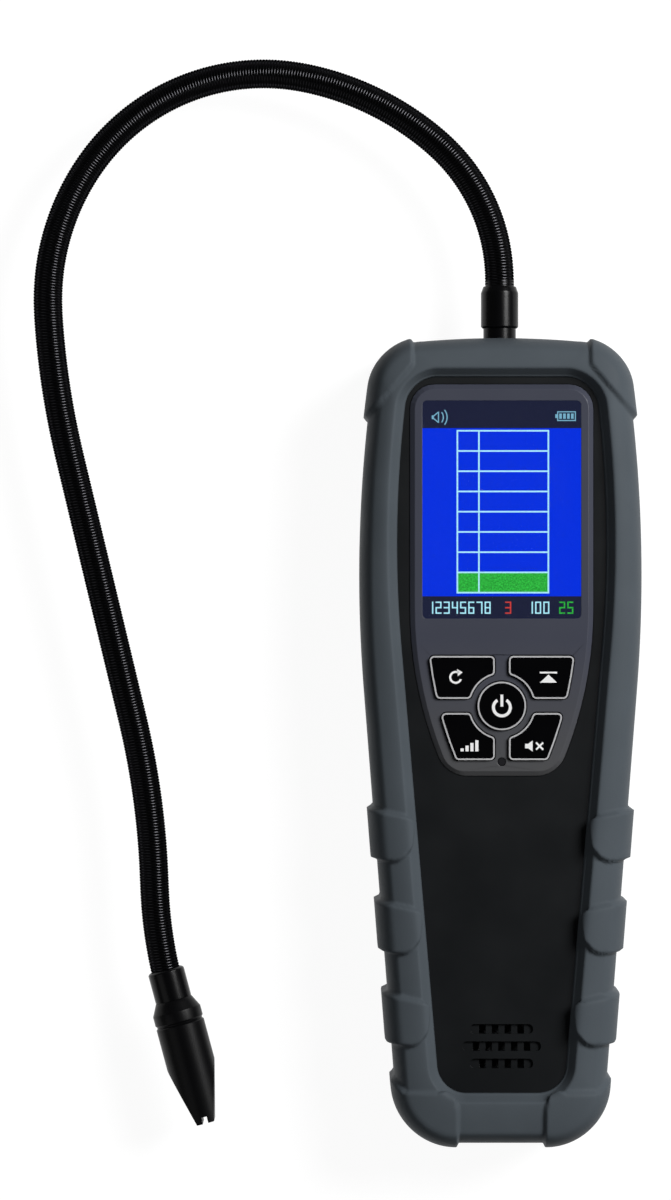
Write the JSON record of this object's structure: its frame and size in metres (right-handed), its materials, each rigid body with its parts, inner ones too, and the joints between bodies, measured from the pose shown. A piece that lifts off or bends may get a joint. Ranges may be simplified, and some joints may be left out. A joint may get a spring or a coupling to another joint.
{
  "type": "refrigerant leak detector",
  "caption": "Handheld refrigerant leak detector in a dark rubber boot, with a colour display, keys, a speaker and a long bendable probe that ends in a wedge-shaped sensor tip",
  "frame": {"origin": "centre of the flat back", "axes": "+Z out of the display, +Y along the body to the end that carries the probe, +X to the right of someone facing the display"},
  "size_m": [0.1638, 0.2929, 0.0398],
  "materials": {
    "boot_rubber": "matt moulded",
    "case_plastic": "fine moulded texture",
    "plate_plastic": "satin",
    "window_clear": "clear",
    "panel": "lit",
    "sheet_metal": "plated",
    "key_plastic": "matt",
    "mat_rubber": "matt",
    "lamp_plastic": "smoked",
    "board_laminate": "lacquered",
    "speaker_plastic": "matt",
    "foam": "open foam",
    "cell_wrap": "foil wrapped",
    "motor_metal": "drawn",
    "pump_plastic": "matt",
    "tube_silicone": "soft",
    "fitting_metal": "black anodised",
    "seal_rubber": "matt",
    "neck_metal": "black ribbed",
    "sleeve_plastic": "shrunk tube",
    "tip_plastic": "fine texture",
    "filter_felt": "felt"
  },
  "bodies": {
    "detector": {"rubber_boot": "boot_rubber", "front_case": "case_plastic", "rear_case": "case_plastic", "faceplate": "plate_plastic", "display_window": "window_clear", "display_panel": "panel", "display_frame": "sheet_metal", "key_mat": "mat_rubber", "status_lamp": "lamp_plastic", "main_board": "board_laminate", "board_screws": "sheet_metal", "speaker": "speaker_plastic", "speaker_gasket": "foam", "battery_cells": "cell_wrap", "battery_springs": "sheet_metal", "battery_plates": "sheet_metal", "battery_door": "case_plastic", "door_screws": "sheet_metal", "case_screws": "sheet_metal", "pump_motor": "motor_metal", "pump_head": "pump_plastic", "intake_tube": "tube_silicone", "neck_socket": "fitting_metal", "neck_nut": "sheet_metal", "neck_washer": "seal_rubber", "neck_sleeve": "sleeve_plastic", "gooseneck_1": "neck_metal"},
    "reset_button": {"reset_key": "key_plastic"},
    "peak_button": {"peak_key": "key_plastic"},
    "power_button": {"power_key": "key_plastic"},
    "level_button": {"level_key": "key_plastic"},
    "mute_button": {"mute_key": "key_plastic"},
    "neck_link_2": {"gooseneck_2": "neck_metal"},
    "neck_link_3": {"gooseneck_3": "neck_metal"},
    "neck_link_4": {"gooseneck_4": "neck_metal"},
    "neck_link_5": {"gooseneck_5": "neck_metal"},
    "neck_link_6": {"gooseneck_6": "neck_metal"},
    "neck_link_7": {"gooseneck_7": "neck_metal"},
    "neck_link_8": {"gooseneck_8": "neck_metal", "tip_collar": "sleeve_plastic", "tip_ring": "tip_plastic", "tip_cap": "tip_plastic", "tip_sensor": "sheet_metal", "tip_filter": "filter_felt"}
  },
  "joints": [
    {"name": "reset_press", "type": "slide", "parent": "detector", "child": "reset_button", "axis": [0, 0, -1], "range_m": [0, 0.0008], "stiffness_N_per_m": 1000, "deforming": ["key_mat"]},
    {"name": "peak_press", "type": "slide", "parent": "detector", "child": "peak_button", "axis": [0, 0, -1], "range_m": [0, 0.0008], "stiffness_N_per_m": 1000, "deforming": ["key_mat"]},
    {"name": "power_press", "type": "slide", "parent": "detector", "child": "power_button", "axis": [0, 0, -1], "range_m": [0, 0.0008], "stiffness_N_per_m": 1000, "deforming": ["key_mat"]},
    {"name": "level_press", "type": "slide", "parent": "detector", "child": "level_button", "axis": [0, 0, -1], "range_m": [0, 0.0008], "stiffness_N_per_m": 1000, "deforming": ["key_mat"]},
    {"name": "mute_press", "type": "slide", "parent": "detector", "child": "mute_button", "axis": [0, 0, -1], "range_m": [0, 0.0008], "stiffness_N_per_m": 1000, "deforming": ["key_mat"]},
    {"name": "neck_bend_1", "type": "hinge", "parent": "detector", "child": "neck_link_2", "pos_m": [-0.01689, 0.16147, 0.0175], "axis": [0.6561, 0.7547, 0], "range_deg": [-20, 20]},
    {"name": "neck_bend_2", "type": "hinge", "parent": "neck_link_2", "child": "neck_link_3", "pos_m": [-0.05237, 0.17896, 0.0175], "axis": [0, 0, 1], "range_deg": [-30, 5]},
    {"name": "neck_bend_3", "type": "hinge", "parent": "neck_link_3", "child": "neck_link_4", "pos_m": [-0.11001, 0.15626, 0.0175], "axis": [-0.8141, 0.5807, 0], "range_deg": [-25, 25]},
    {"name": "neck_bend_4", "type": "hinge", "parent": "neck_link_4", "child": "neck_link_5", "pos_m": [-0.12176, 0.11525, 0.0175], "axis": [0, 0, 1], "range_deg": [-30, 8]},
    {"name": "neck_bend_5", "type": "hinge", "parent": "neck_link_5", "child": "neck_link_6", "pos_m": [-0.11608, 0.07722, 0.0175], "axis": [-0.9724, -0.2334, 0], "range_deg": [-25, 25]},
    {"name": "neck_bend_6", "type": "hinge", "parent": "neck_link_6", "child": "neck_link_7", "pos_m": [-0.09895, 0.00585, 0.0175], "axis": [0, 0, 1], "range_deg": [-30, 15]},
    {"name": "neck_bend_7", "type": "hinge", "parent": "neck_link_7", "child": "neck_link_8", "pos_m": [-0.09305, -0.03878, 0.0175], "axis": [-0.9996, -0.027, 0], "range_deg": [-30, 30]}
  ]
}
